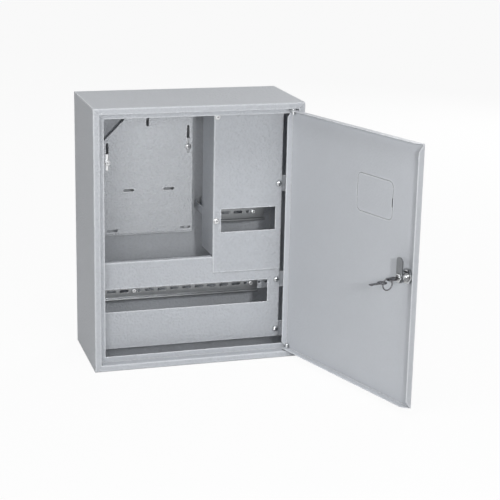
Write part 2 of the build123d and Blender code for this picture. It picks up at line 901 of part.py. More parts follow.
panel = fillet(panel.edges().sort_by_distance(panel_lip_root)[0], panel_lip_bend)
corner_cutter = make_face(Polyline(
    (panel_left, panel_high),
    (panel_left + panel_corner_cut, panel_high),
    (panel_left, panel_high - panel_corner_cut),
    close=True,
))
panel -= extrude(Plane.XZ * corner_cutter, cabinet_depth)

right_slot_x = panel_right - right_slot_inset
left_slot_x = panel_left + left_slot_inset
right_slot_z = panel_high - right_slot_drop
left_slot_z = panel_high - left_slot_drop
middle_slot_x = panel_left + middle_slot_inset
top_slot_z = panel_high - top_slot_drop - top_slot_length / 2
panel_slots = (
    (right_slot_x, right_slot_z, upright_slot_length, 90),
    (left_slot_x, left_slot_z, upright_slot_length, 90),
    (panel_left + top_slot_offset, top_slot_z, top_slot_length, 90),
    (middle_slot_x, floor_z + middle_slot_height, short_slot_length, 0),
    (middle_slot_x + middle_slot_pitch, floor_z + middle_slot_height, short_slot_length, 0),
    (panel_left + low_slot_inset, floor_z + low_slot_height, short_slot_length, 0),
    (panel_right - low_slot_right_inset, floor_z + low_slot_height, short_slot_length, 0),
)
for x, z, length, turn in panel_slots:
    cutter = extrude(SlotOverall(length, panel_slot_width, rotation=turn), 2 * panel_sheet, both=True)
    panel -= facing_front(x, panel_front, z) * cutter
nodes["meter_panel"] = panel

# Clamp screws of the meter, each with a washer in front and a nut plate behind its slot
clamps = (
    ("right", right_slot_x, right_slot_z - right_clamp_down),
    ("left", left_slot_x, left_slot_z - left_clamp_down),
)
for name, x, z in clamps:
    seat = facing_front(x, panel_front - washer_sheet, z)
    nodes["clamp_screw_" + name] = seat * pan_screw(screw_length)
    nodes["clamp_washer_" + name] = seat * plain_washer(
        washer_radius, screw_radius + shank_fit, washer_sheet
    )
    plate = Box(nut_plate_width, nut_plate_height, nut_plate_sheet, align=ON_BASE)
    plate -= Cylinder(screw_hole, 3 * nut_plate_sheet)
    nodes["clamp_nut_plate_" + name] = facing_front(x, panel_front + panel_sheet, z) * plate

# Earth stud on the back wall behind the lower cover
stud_plane = Plane(
    origin=(stud_x, back_inside, floor_z + stud_height), x_dir=(1, 0, 0), z_dir=(0, -1, 0)
)
stud = Cylinder(stud_base_radius, stud_base_height, align=ON_BASE)
stud += Cylinder(stud_radius, stud_length, align=ON_BASE)
nodes["earth_stud"] = stud_plane * stud
nodes["earth_washer"] = stud_plane * Pos(0, 0, stud_base_height) * plain_washer(
    stud_washer_radius, stud_radius + shank_fit, stud_washer_sheet
)
nodes["earth_nut"] = stud_plane * Pos(0, 0, stud_base_height + stud_washer_sheet) * hexagon(
    stud_nut_flats, stud_radius + close_fit, stud_nut_height
)

os.makedirs("parts", exist_ok=True)
for name, shape in nodes.items():
    export_step(shape, os.path.join("parts", name + ".step"))
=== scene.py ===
# %% [markdown]
# # A sheet-steel wall cabinet for a meter and module breakers
# The CAD model already holds every folded sheet, screw and hinge in its true place and size.
# This lesson dresses it: paint, zinc, chrome, and the small turned and cut pieces whose charm is in
# their surface, such as the thread of the lock, the chamfer of a nut and the cut edge of a key.

import json
import math

import bpy
from mathutils import Matrix, Vector


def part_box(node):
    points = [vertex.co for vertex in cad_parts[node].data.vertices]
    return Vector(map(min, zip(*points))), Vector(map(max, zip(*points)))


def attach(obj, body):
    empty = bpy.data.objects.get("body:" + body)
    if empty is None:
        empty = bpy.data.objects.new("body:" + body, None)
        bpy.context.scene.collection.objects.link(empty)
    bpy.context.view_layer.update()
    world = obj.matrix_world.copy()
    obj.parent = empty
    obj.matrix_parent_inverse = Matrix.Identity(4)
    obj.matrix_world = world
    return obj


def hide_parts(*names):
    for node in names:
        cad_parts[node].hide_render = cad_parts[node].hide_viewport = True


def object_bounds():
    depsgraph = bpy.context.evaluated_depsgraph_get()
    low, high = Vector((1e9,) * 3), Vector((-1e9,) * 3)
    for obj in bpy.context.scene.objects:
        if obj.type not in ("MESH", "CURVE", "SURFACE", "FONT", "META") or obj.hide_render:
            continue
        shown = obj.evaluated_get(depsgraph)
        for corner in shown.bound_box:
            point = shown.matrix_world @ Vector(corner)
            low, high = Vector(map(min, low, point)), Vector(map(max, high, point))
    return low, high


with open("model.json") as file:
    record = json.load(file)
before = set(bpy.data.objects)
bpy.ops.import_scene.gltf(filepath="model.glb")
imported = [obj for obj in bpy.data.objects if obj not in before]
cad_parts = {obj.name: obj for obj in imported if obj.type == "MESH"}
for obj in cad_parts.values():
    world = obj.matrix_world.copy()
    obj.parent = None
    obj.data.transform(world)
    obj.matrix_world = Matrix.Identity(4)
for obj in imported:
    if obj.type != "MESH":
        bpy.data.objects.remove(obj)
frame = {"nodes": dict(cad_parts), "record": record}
cad_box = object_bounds()
nodes = frame["nodes"]
mm = 0.001
bpy.ops.object.select_all(action="DESELECT")
print("cabinet with", len(nodes), "CAD nodes, box", [round(v, 4) for v in (*cad_box[0], *cad_box[1])])

# %% [markdown]
# ## Writing shader maths as sums
# A painted sheet needs a dozen small sums in its material: noise times a strength, one minus a mask.
# They could be wired by hand, node by node. A small class that wraps a socket lets Python's own
# operators add the Math nodes, so that a material reads like the formula it is.


# %% A socket that can be reckoned with
class Value:
    """One output socket of a node tree, with the usual operators."""

    def __init__(self, wiring, socket):
        self.wiring = wiring
        self.socket = socket

    def _sum(self, kind, first, second):
        return self.wiring.node("ShaderNodeMath", {"operation": kind}, {0: first, 1: second})

    def __add__(self, other):
        return self._sum("ADD", self, other)

    def __radd__(self, other):
        return self._sum("ADD", other, self)

    def __sub__(self, other):
        return self._sum("SUBTRACT", self, other)

    def __rsub__(self, other):
        return self._sum("SUBTRACT", other, self)

    def __mul__(self, other):
        return self._sum("MULTIPLY", self, other)

    def __rmul__(self, other):
        return self._sum("MULTIPLY", other, self)

    def near(self, centre, reach):
        return self.wiring.node("ShaderNodeMath", {"operation": "COMPARE"}, {0: self, 1: centre, 2: reach})

    def clamped(self):
        return self.wiring.node("ShaderNodeClamp", {}, {"Value": self, "Min": 0.0, "Max": 1.0})


print("sockets can be added, subtracted and multiplied")


# %% A tree that takes its nodes one by one
class Wiring:
    """A node tree: each node gets its settings first, then the constants and links of its sockets."""

    def __init__(self, tree):
        self.tree = tree

    def node(self, kind, settings, inputs, output=0):
        made = self.tree.nodes.new(kind)
        for name, setting in settings.items():
            setattr(made, name, setting)
        for name, given in inputs.items():
            if isinstance(given, Value):
                self.tree.links.new(given.socket, made.inputs[name])
            else:
                made.inputs[name].default_value = given
        return Value(self, made.outputs[output])

    def along(self, place, direction):
        """How far a place lies along a direction, or the cosine between two unit vectors."""
        return self.node(
            "ShaderNodeVectorMath", {"operation": "DOT_PRODUCT"}, {0: place, 1: direction}, "Value"
        )


class Finish(Wiring):
    """A material with one Principled surface, read in the object's own coordinates."""

    def __init__(self, name, **constants):
        self.material = bpy.data.materials.new(name)
        self.material.use_nodes = True
        super().__init__(self.material.node_tree)
        self.surface = self.tree.nodes["Principled BSDF"]
        for socket, constant in constants.items():
            self.surface.inputs[socket.replace("_", " ")].default_value = constant
        self.place = self.node("ShaderNodeTexCoord", {}, {}, "Object")

    def noise(self, scale, detail=2.0, roughness=0.5, stretch=(1.0, 1.0, 1.0)):
        spread = self.node("ShaderNodeMapping", {}, {"Vector": self.place, "Scale": stretch})
        return self.node(
            "ShaderNodeTexNoise",
            {},
            {"Vector": spread, "Scale": scale, "Detail": detail, "Roughness": roughness},
        )

    def between(self, factor, first, second):
        ends = [c if isinstance(c, Value) else (*c, 1.0) for c in (first, second)]
        return self.node("ShaderNodeMix", {"data_type": "RGBA"}, {0: factor, 6: ends[0], 7: ends[1]}, 2)

    def bumped(self, height, distance, normal):
        return self.node("ShaderNodeBump", {}, {"Height": height, "Distance": distance, "Normal": normal})

    def feed(self, **links):
        for socket, given in links.items():
            self.tree.links.new(given.socket, self.surface.inputs[socket.replace("_", " ")])
        return self.material


print("materials can be wired")

# %% [markdown]
# ## Edges and creases
# No folded or punched edge is a knife: paint and plating round it, and it catches a line of light, which
# the shader paints as a paler colour: a painted highlight.
# In a crease, between two sheets or in a scored groove, little light gets out, and the colour there is
# painted darker: a painted shade.
# Bevelling every sheet would change the CAD meshes, so the shader does it: a Bevel node bends the normal
# near an edge, and the angle between the bent and the true normal says where the edges are.


# %% Masks for edges and creases
def rounded_edges(finish, radius):
    """The normal as if every edge had a small radius."""
    return finish.node("ShaderNodeBevel", {"samples": 4}, {"Radius": radius}, "Normal")


def edge_mask(finish, rounded):
    """One along the edges, nought on the flats."""
    flat = finish.node("ShaderNodeNewGeometry", {}, {}, "Normal")
    steepness = 4.0
    return ((1.0 - finish.along(rounded, flat)) * steepness).clamped()


def crease_shade_mask(finish, reach):
    """One in narrow creases, nought on open faces; where it is one, the colour is painted darker as shade.
    """
    openness = finish.node("ShaderNodeAmbientOcclusion", {"samples": 6}, {"Distance": reach}, "AO")
    steepness = 2.2
    spared = 0.2
    return ((1.0 - openness) * steepness - spared).clamped()


print("masks ready")

# %% [markdown]
# ## Powder coat
# The cabinet, its door and its covers are sprayed with grey polyester powder and baked. The melt draws
# itself into a skin like orange peel, waves a few millimetres across and some hundredths high.
# A bump of two noises gives the waves, taller than life so that they show from a few paces.
# A bend in a white room mirrors no more light than a flat, so a mask with a wider reach than the bends
# paints their highlight as pale lines: a painted highlight. The creases are painted darker, and so are the
# valleys of the waves: painted shade. The meter panel has the coarsest coat, the door the smoothest.


# %% The grey paint
def cool_grey(shade):
    """A grey with a little more green and blue than red."""
    return (shade, shade + 0.020, shade + 0.051)


edge_radius = 1.8 * mm
bend_reach = 4.0 * mm
crease_reach = 4.0 * mm
cloud_lift = 0.03
valley_below = 0.62
valley_steepness = 3.0
grain_share = 0.05
crease_shade_share = 0.8
satin = 0.40
satin_wander = 0.12
edge_highlight_grey = (0.92, 0.94, 0.97)
valley_shade_grey = (0.25, 0.26, 0.28)
crease_shade_grey = (0.14, 0.15, 0.16)


def powder_coat(name, wave, valley_shade_share, shade):
    """Grey powder paint with waves of a height in metres, their valleys painted dark as shade by a share,
    in a shade of grey.
    """
    coat = Finish(name, Specular_IOR_Level=0.2)
    peel = coat.noise(scale=250.0, detail=0.0)
    grain = coat.noise(scale=900.0, detail=0.0)
    cloud = coat.noise(scale=9.0, detail=3.0, roughness=0.6)
    unshaded_grey = coat.between(cloud, cool_grey(shade), cool_grey(shade + cloud_lift))
    # the valleys of the waves are painted darker: painted shade
    valley_shade = ((valley_below - peel) * valley_steepness).clamped() * valley_shade_share
    even_grey = coat.between(valley_shade, unshaded_grey, valley_shade_grey)
    bend_highlight_mask = edge_mask(coat, rounded_edges(coat, bend_reach))
    # edges and bends are painted paler: a painted highlight
    edge_highlight = coat.between(bend_highlight_mask, even_grey, edge_highlight_grey)
    # the creases are painted darker: painted shade
    coat.colour = coat.between(crease_shade_mask(coat, crease_reach) * crease_shade_share, edge_highlight, crease_shade_grey)
    coat.feed(
        Base_Color=coat.colour,
        Roughness=satin + satin_wander * peel,
        Normal=coat.bumped(peel + grain_share * grain, wave, rounded_edges(coat, edge_radius)),
    )
    return coat


grey_powder_coat = powder_coat("grey_powder_coat", wave=0.0010, valley_shade_share=0.10, shade=0.490).material
# the meter panel's and the door's greys are paler copies of the cabinet's grey, for light they would get:
# painted light
coarse_powder_coat = powder_coat("coarse_powder_coat", wave=0.0020, valley_shade_share=0.08, shade=0.620).material
door_paint = powder_coat("smooth_powder_coat", wave=0.0003, valley_shade_share=0.03, shade=0.520)
print("paints:", grey_powder_coat.name, coarse_powder_coat.name, door_paint.material.name)

# %% [markdown]
# ## Zinc-plated steel
# Rails, screws and washers are zinc plated. A screw comes from the barrel bright, with cloudy patches; a
# rail is rolled strip, plainer and darker, with fine lines along its length. Both are one recipe: a cloud
# shifts colour and roughness, and a second noise, stretched along the rail, draws the rolling lines.

# %% Two kinds of zinc
plated_radius = 0.7 * mm
plated_crease = 1.5 * mm
plated_bump = 0.05 * mm
plated_wander = 0.10
bath_share = 0.7
plated_edge_highlight = (0.94, 0.95, 0.96)
plated_highlight_share = 0.8
plated_crease_shade = (0.06, 0.06, 0.07)


def zinc_plate(name, dark, light, roughness):
    """A plated metal with cloudy patches and fine rolling lines along X."""
    zinc = Finish(name, Metallic=1.0)
    bath = zinc.noise(scale=70.0, detail=3.0, roughness=0.6)
    rolled = zinc.noise(scale=1.0, detail=1.0, stretch=(8.0, 1500.0, 1500.0))
    rounded = rounded_edges(zinc, plated_radius)
    cloudy = zinc.between(bath_share * bath + (1.0 - bath_share) * rolled, dark, light)
    # the edges are painted paler: a painted highlight
    edge_lit_zinc = zinc.between(edge_mask(zinc, rounded) * plated_highlight_share, cloudy, plated_edge_highlight)
    return zinc.feed(
        # the creases are painted near black: painted shade
        Base_Color=zinc.between(crease_shade_mask(zinc, plated_crease) * crease_shade_share, edge_lit_zinc, plated_crease_shade),
        Roughness=roughness + plated_wander * bath,
        Normal=zinc.bumped(bath, plated_bump, rounded),
    )


bright_zinc = zinc_plate("bright_zinc", (0.70, 0.71, 0.72), (0.86, 0.87, 0.88), roughness=0.20)
rail_zinc = zinc_plate("rail_zinc", (0.26, 0.27, 0.28), (0.34, 0.35, 0.36), roughness=0.26)
print("plating:", bright_zinc.name, rail_zinc.name)

# %% [markdown]
# ## Chrome, nickel, steel and brass
# The lock is chromed, its keys are nickel that has seen a pocket, its tongue is bare steel gone dull,
# and the earth stud is plain brass. All four are one recipe with other colours: a metal whose roughness
# wanders a little and whose creases are painted dark, a painted shade.

# %% Four more metals
turned_radius = 0.3 * mm
turned_crease = 2.0 * mm
turned_bump = 0.02 * mm
turned_crease_shade = (0.05, 0.05, 0.05)


def turned_metal(name, dark, light, roughness, wander):
    """A metal whose colour and roughness vary in soft patches."""
    metal = Finish(name, Metallic=1.0)
    patch = metal.noise(scale=140.0, detail=3.0, roughness=0.6)
    scratch = metal.noise(scale=900.0)
    shade = metal.between(patch, dark, light)
    return metal.feed(
        # the creases are painted near black: painted shade
        Base_Color=metal.between(crease_shade_mask(metal, turned_crease), shade, turned_crease_shade),
        Roughness=roughness + wander * patch,
        Normal=metal.bumped(scratch, turned_bump, rounded_edges(metal, turned_radius)),
    )


lock_chrome = turned_metal("lock_chrome", (0.46, 0.47, 0.48), (0.60, 0.61, 0.62), 0.10, 0.12)
key_nickel = turned_metal("key_nickel", (0.10, 0.10, 0.11), (0.20, 0.20, 0.21), 0.20, 0.14)
dull_steel = turned_metal("dull_steel", (0.24, 0.25, 0.26), (0.32, 0.33, 0.34), 0.34, 0.16)
earth_brass = turned_metal("earth_brass", (0.60, 0.44, 0.18), (0.74, 0.56, 0.26), 0.24, 0.12)
print("metals:", lock_chrome.name, key_nickel.name, dull_steel.name, earth_brass.name)

# %% [markdown]
# ## Giving every CAD node its finish
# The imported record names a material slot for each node. Each slot gets one of the finishes above, and
# the few that share a slot but look different get theirs by name: the lock's dull tongue, the rails,
# the coarse coat of the meter panel and the smooth one of the door.

# %% Dress the nodes
finish_of_slot = {
    "powder_coat": grey_powder_coat,
    "zinc_steel": bright_zinc,
    "lock_chrome": lock_chrome,
    "key_metal": key_nickel,
    "earth_brass": earth_brass,
}
finish_of_node = {
    "lock_cam": dull_steel,
    "lower_din_rail": rail_zinc,
    "upper_din_rail": rail_zinc,
    "meter_panel": coarse_powder_coat,
    "door": door_paint.material,
}
for part in frame["record"]["subparts"]:
    name = part["node"]
    mesh = nodes[name].data
    mesh.materials.clear()
    mesh.materials.append(finish_of_node.get(name, finish_of_slot[part["material_slot"]]))

# %% [markdown]
# ## A dark lever notch
# The reading window in the door is only half cut, and a short notch at its edge takes the screwdriver that
# levers it out. Its faces are painted near black, a painted shadow, so the notch reads as a dark bar on the
# pale door. A second material on those few faces would do; a mask in the paint keeps the door in one. The
# notch is the deepest face that looks into the cabinet, and its place is read from the mesh, along the open
# door.

# %% Directions of the open door
lock_joint = next(j for j in frame["record"]["behaviour"]["joints"] if j["name"] == "lock_turn")
inward = -Vector(lock_joint["axis"])
upward = Vector((0.0, 0.0, 1.0))
across = upward.cross(inward)
print("the open door's inside looks along", [round(v, 3) for v in inward])

# %% Mask the notch
facing = 0.99
same_depth = 0.1 * mm
depth_spare = 0.03 * mm
notch_shadow_grey = (0.10, 0.10, 0.11)
notch_shadow_share = 0.9
door_mesh = nodes["door"].data
inner_faces = [face for face in door_mesh.polygons if face.normal.dot(inward) > facing]
notch_depth = min(face.center.dot(inward) for face in inner_faces)
notch_faces = [face for face in inner_faces if face.center.dot(inward) < notch_depth + same_depth]
corners = [door_mesh.vertices[index].co for face in notch_faces for index in face.vertices]
notch = 1.0
for direction, spare in ((inward, depth_spare), (across, 0.0), (upward, 0.0)):
    reaches = [corner.dot(direction) for corner in corners]
    middle = (min(reaches) + max(reaches)) / 2
    half = (max(reaches) - min(reaches)) / 2 + spare
    notch = notch * door_paint.along(door_paint.place, direction).near(middle, half)
# the notch is painted near black: a painted shadow
door_paint.feed(Base_Color=door_paint.between(notch * notch_shadow_share, door_paint.colour, notch_shadow_grey))
print("notch of", len(notch_faces), "faces,", round(notch_depth, 5), "m along the lock's axis")

# %% [markdown]
# ## A bench for the lock
# The lock sits in the open door, so nothing on it is square to the room. Each of its pieces is made on a
# bench at the origin, in millimetres along the lock's own axis, and then set down where the door is.
# The turning joint of the record gives that axis and its place.

# %% Where the lock is
lock_place = Matrix((across, upward, inward)).transposed().to_4x4()
lock_place.translation = Vector(lock_joint["pos_m"])
print("lock at", [round(v, 4) for v in lock_place.translation])


# %% From the bench to the cabinet
def moved(x, y, z):
    """A move in millimetres."""
    return Matrix.Translation((x * mm, y * mm, z * mm))


def set_down(piece, place, body, slot, node):
    """Moves a piece to its place, settles the place in its mesh and lets it stand for its CAD node."""
    bpy.ops.object.select_all(action="DESELECT")
    piece.select_set(True)
    bpy.context.view_layer.objects.active = piece
    piece.matrix_world = place @ piece.matrix_world
    bpy.ops.object.transform_apply(location=True, rotation=True, scale=True)
    bpy.ops.object.shade_smooth_by_angle(angle=math.radians(35.0))
    piece.data.materials.clear()
    piece.data.materials.append(finish_of_slot[slot])
    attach(piece, body)
    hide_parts(node)
    print(piece.name, "stands for", node, "with", len(piece.data.polygons), "faces")


print("bench ready")

# %% [markdown]
# ## Turning a thread
# The housing of the lock is a threaded tube with two flats, clamped to the door by its nut. A lathe cuts
# such a thing from an outline, and so does Blender: the outline is drawn vertex by vertex and spun.
# A true helix would need the Screw modifier and open ends to close; at this pitch, rings look the same.

# %% Draw an outline and spin it
same_point = 0.002 * mm


def turned(name, outline, steps):
    """Spins a closed outline of (radius, height) points in millimetres round the Z axis."""
    bpy.ops.object.select_all(action="DESELECT")
    bpy.ops.mesh.primitive_plane_add(size=mm)
    piece = bpy.context.object
    piece.name = name
    bpy.ops.object.mode_set(mode="EDIT")
    bpy.ops.mesh.merge(type="CENTER")
    pen = Vector((0.0, 0.0, 0.0))
    for number, (radius, height) in enumerate([*outline, outline[0]]):
        point = Vector((radius, 0.0, height)) * mm
        if number == 0:
            bpy.ops.transform.translate(value=point - pen)
        else:
            bpy.ops.mesh.extrude_region_move(TRANSFORM_OT_translate={"value": point - pen})
        pen = point
    bpy.ops.mesh.select_all(action="SELECT")
    bpy.ops.mesh.remove_doubles(threshold=same_point)
    bpy.ops.mesh.spin(steps=steps, angle=math.tau, center=(0.0, 0.0, 0.0), axis=(0.0, 0.0, 1.0))
    bpy.ops.mesh.select_all(action="SELECT")
    bpy.ops.mesh.remove_doubles(threshold=same_point)
    bpy.ops.mesh.normals_make_consistent(inside=False)
    bpy.ops.object.mode_set(mode="OBJECT")
    return piece


def thread(crest, depth, pitch, low, high):
    """Points of a thread between two heights, each turn a root and a flat crest."""
    root_at, crest_from, crest_to = (share * pitch for share in (0.1, 0.5, 0.65))
    points = []
    for turn in range(int((high - low) / pitch)):
        start = low + turn * pitch
        points += [
            (crest - depth, start + root_at),
            (crest, start + crest_from),
            (crest, start + crest_to),
        ]
    return points


def worked(piece, other, operation):
    """Joins, bores or trims a piece with another, which is used up."""
    cut = piece.modifiers.new("worked", "BOOLEAN")
    cut.operation = operation
    cut.object = other
    bpy.context.view_layer.objects.active = piece
    bpy.ops.object.modifier_apply(modifier=cut.name)
    bpy.data.objects.remove(other)
    bpy.ops.object.mode_set(mode="EDIT")
    bpy.ops.mesh.select_all(action="SELECT")
    bpy.ops.mesh.remove_doubles(threshold=same_point)
    bpy.ops.mesh.dissolve_degenerate(threshold=same_point)
    bpy.ops.object.mode_set(mode="OBJECT")


print("lathe ready")

# %% The threaded tube of the housing
round_steps = 72
housing_bore = 6.06
housing_length = 19.45
housing_radius = 9.5
neck_radius = 9.0
end_radius = 8.9
bore_lead = 0.3
overlap = 0.5
lock_tube = turned("threaded_housing", [
    (housing_bore + bore_lead, 0.0),
    (housing_bore + bore_lead, -overlap),
    (neck_radius, -overlap),
    (neck_radius, 0.1),
    *thread(housing_radius, depth=0.55, pitch=1.1, low=0.2, high=18.9),
    (end_radius, housing_length),
    (housing_bore, housing_length),
    (housing_bore, bore_lead),
], round_steps)
half_flats = 8.0
bpy.ops.object.mode_set(mode="EDIT")
for side in (1.0, -1.0):
    bpy.ops.mesh.select_all(action="SELECT")
    bpy.ops.mesh.bisect(
        plane_co=(0.0, side * half_flats * mm, 0.0),
        plane_no=(0.0, side, 0.0),
        use_fill=True,
        clear_outer=True,
    )
bpy.ops.object.mode_set(mode="OBJECT")
print("tube with", len(lock_tube.data.polygons), "faces")

# %% The head of the housing
head_radius = 12.0
head_height = 3.0
face_bore = 7.56
face_depth = 1.0
lock_head = turned("lock_head", [
    (face_bore, -head_height),
    (head_radius - 1.2, -head_height),
    (head_radius - 0.6, -head_height + 0.2),
    (head_radius - 0.15, -head_height + 0.65),
    (head_radius, -head_height + 1.2),
    (head_radius, 0.0),
    (housing_bore, 0.0),
    (housing_bore, -face_depth),
    (face_bore, -face_depth),
], round_steps)
worked(lock_tube, lock_head, "UNION")
set_down(lock_tube, lock_place, "door_leaf", "lock_chrome", "lock_housing")

# %% [markdown]
# ## Nuts with chamfered corners
# A hexagon nut is cut from bar and its corners are turned off at 30 degrees, which leaves the curved
# lines that everyone knows. The quick way is the same as the lathe's: a hexagonal prism, and a turned
# ring that keeps only what lies inside both.


# %% Hexagon and turned ring
def chamfered_nut(name, flats, bore, height):
    """A nut standing on zero, two of its flats above and below."""
    crown = 0.47 * flats
    corner = flats / math.sqrt(3.0)
    outside = corner + 0.5
    drop = (outside - crown) * math.tan(math.radians(30.0))
    lead = 0.35
    ring = turned(name + "_ring", [
        (bore + lead, 0.0),
        (crown, 0.0),
        (outside, drop),
        (outside, height - drop),
        (crown, height),
        (bore + lead, height),
        (bore, height - lead),
        (bore, lead),
    ], round_steps)
    bpy.ops.object.select_all(action="DESELECT")
    bpy.ops.mesh.primitive_cylinder_add(
        vertices=6,
        radius=corner * mm,
        depth=2 * height * mm,
        location=(0, 0, height * mm / 2),
        rotation=(0, 0, math.pi / 6),
    )
    bar = bpy.context.object
    bar.name = name
    bpy.ops.object.transform_apply(location=True, rotation=True, scale=True)
    worked(bar, ring, "INTERSECT")
    return bar


print("nuts can be cut")

# %% The two nuts of the lock
door_sheet = 1.2
thread_play = 0.02
clamping_nut = chamfered_nut("clamping_nut", flats=24.0, bore=housing_radius + thread_play, height=5.0)
set_down(clamping_nut, lock_place @ moved(0, 0, door_sheet), "door_leaf", "lock_chrome", "lock_nut")
tail_radius = 5.25
tongue_back = 22.0
tongue_nut = chamfered_nut("tongue_nut", flats=14.0, bore=tail_radius + thread_play, height=3.5)
set_down(tongue_nut, lock_place @ moved(0, 0, tongue_back), "lock_cylinder", "zinc_steel", "cam_nut")

# %% [markdown]
# ## The earth stud
# The protective earth is clamped on a brass stud on the back wall, between a washer and a nut. Its place is
# read from the box of the CAD stud, and it is turned on the same lathe as the lock, foot first.

# %% Stud and nut
stud_low, stud_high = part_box("earth_stud")
stud_middle = (stud_low + stud_high) / 2
stud_foot = Matrix.Translation((stud_middle.x, stud_high.y, stud_middle.z))
stud_place = stud_foot @ Matrix.Rotation(math.pi / 2, 4, "X")
stud_radius = 3.0
stud_length = 22.0
foot_radius = 5.0
foot_height = 1.5
washer_top = 3.1
stud_nut = chamfered_nut("stud_nut", flats=10.0, bore=stud_radius + thread_play, height=5.0)
set_down(stud_nut, stud_place @ moved(0, 0, washer_top), "cabinet", "earth_brass", "earth_nut")
earth_stud = turned("threaded_stud", [
    (0.0, 0.0),
    (foot_radius, 0.0),
    (foot_radius, foot_height),
    (stud_radius - 0.3, foot_height),
    *thread(stud_radius, depth=0.35, pitch=1.0, low=1.6, high=21.4),
    (stud_radius - 0.5, stud_length),
    (0.0, stud_length),
], 40)
set_down(earth_stud, stud_place, "cabinet", "earth_brass", "earth_stud")

# %% [markdown]
# ## Keys
# A cabinet key is stamped from sheet: a rounded bow with a hole for the ring, a blade with a milled groove
# on both faces and a few notches on one edge. Each starts as two boxes. The bow's upright edges are
# bevelled and its hole is bored with a Boolean; the blade is divided along its length, its faces are inset
# to make the groove, and its edge points are pushed in to make the notches.


# %% Choosing by place
def choose(piece, kind, wanted):
    """Goes into edit mode with just those vertices, edges or faces selected for which wanted says yes."""
    bpy.ops.object.mode_set(mode="EDIT")
    bpy.ops.mesh.select_mode(type={"vertices": "VERT", "edges": "EDGE", "polygons": "FACE"}[kind])
    bpy.ops.mesh.select_all(action="DESELECT")
    bpy.ops.object.mode_set(mode="OBJECT")
    for item in getattr(piece.data, kind):
        item.select = wanted(item)
    bpy.ops.object.mode_set(mode="EDIT")


def runs_along(piece, axis):
    """Says of an edge whether it runs along X, Y or Z."""
    def wanted(edge):
        a, b = (piece.data.vertices[index].co for index in edge.vertices)
        step = (b - a).normalized()
        return abs(step[axis]) > facing
    return wanted


def boxed(name, low, high):
    """A box between two corners in millimetres."""
    bpy.ops.object.select_all(action="DESELECT")
    middle = [(a + b) / 2 * mm for a, b in zip(low, high)]
    size = [(b - a) * mm for a, b in zip(low, high)]
    bpy.ops.mesh.primitive_cube_add(size=1.0, location=middle, scale=size)
    piece = bpy.context.object
    piece.name = name
    bpy.ops.object.transform_apply(location=True, rotation=True, scale=True)
    return piece


print("edges, faces and points can be chosen by place")

# %% The bow of a key
key_sheet = 2.0
collar = 1.5
bow_width = 16.0
bow_corner = 5.0
ring_hole = 3.5
web = 2.0


def key_bow(name, bow):
    """A rounded plate above the collar, with a hole for the ring near its end."""
    handle = boxed(name, (-bow_width / 2, collar, -key_sheet / 2), (bow_width / 2, bow, key_sheet / 2))
    choose(handle, "edges", runs_along(handle, 2))
    bpy.ops.mesh.bevel(offset=bow_corner * mm, segments=6, affect="EDGES")
    bpy.ops.object.mode_set(mode="OBJECT")
    bpy.ops.object.select_all(action="DESELECT")
    bpy.ops.mesh.primitive_cylinder_add(
        vertices=40,
        radius=ring_hole * mm,
        depth=4 * key_sheet * mm,
        location=(0, (bow - web - ring_hole) * mm, 0),
    )
    worked(handle, bpy.context.object, "DIFFERENCE")
    return handle


print("bows are", bow_width, "mm wide, with a hole of", 2 * ring_hole, "mm")

# %% The blade of a key
blade_width = 7.0
blade_spare = 0.1
tang = 3.0
groove_rim = 2.3
groove_depth = 0.45
nearly_level = 0.9
notches = (0.0, 1.3, 0.5, 1.7, 0.9, 1.5, 0.4, 0.0)


def key_blade(name, blade):
    """A grooved and notched strip below zero, a little thinner than the bow that its tang reaches into."""
    half = key_sheet / 2 - blade_spare
    shaft = boxed(name, (-blade_width / 2, -blade, -half), (blade_width / 2, collar + tang, half))
    choose(shaft, "edges", runs_along(shaft, 1))
    bpy.ops.mesh.subdivide(number_cuts=2 * len(notches) - 1)
    for face in (1.0, -1.0):
        choose(shaft, "polygons", lambda polygon: polygon.normal.z * face > nearly_level)
        bpy.ops.mesh.inset(thickness=groove_rim * mm, depth=-groove_depth * mm)
    step = (blade + collar + tang) / (2 * len(notches))
    reach = 0.1 * mm
    edge = blade_width / 2 * mm - reach
    for number, depth in enumerate(notches):
        along = (number * step - blade + step) * mm
        choose(shaft, "vertices", lambda v: abs(v.co.y - along) < reach and v.co.x > edge)
        bpy.ops.transform.translate(value=(-depth * mm, 0.0, 0.0))
    bpy.ops.object.mode_set(mode="OBJECT")
    return shaft


print("blades have", len(notches), "notches, the deepest", max(notches), "mm")


# %% A key
def cut_key(name, blade, bow):
    """A flat key lying in X and Y, its blade below zero and its bow above."""
    handle = key_bow(name, bow)
    worked(handle, key_blade(name + "_blade", blade), "UNION")
    softened = handle.modifiers.new("softened", "BEVEL")
    softened.width = 0.2 * mm
    softened.segments = 2
    softened.limit_method = "ANGLE"
    bpy.ops.object.modifier_apply(modifier=softened.name)
    return handle


along_axis = Matrix(((-1, 0, 0, 0), (0, 0, 1, 0), (0, 1, 0, 0), (0, 0, 0, 1)))
barrel_end = 26.5
first_bow = 21.0
first_place = lock_place @ moved(0, 0, barrel_end) @ along_axis
set_down(cut_key("key_in_lock", 10.0, first_bow), first_place, "lock_cylinder", "key_metal", "key_1")

# %% [markdown]
# ## How the ring and the spare key hang
# The ring hangs on the web of the key in the lock, and the spare key lies beyond the ring, a little lower
# than the first. The ring's drop is the height of its circle over half the web. Where the spare key's
# hole meets the wire follows from the same circle, so both places are worked out, not tried.

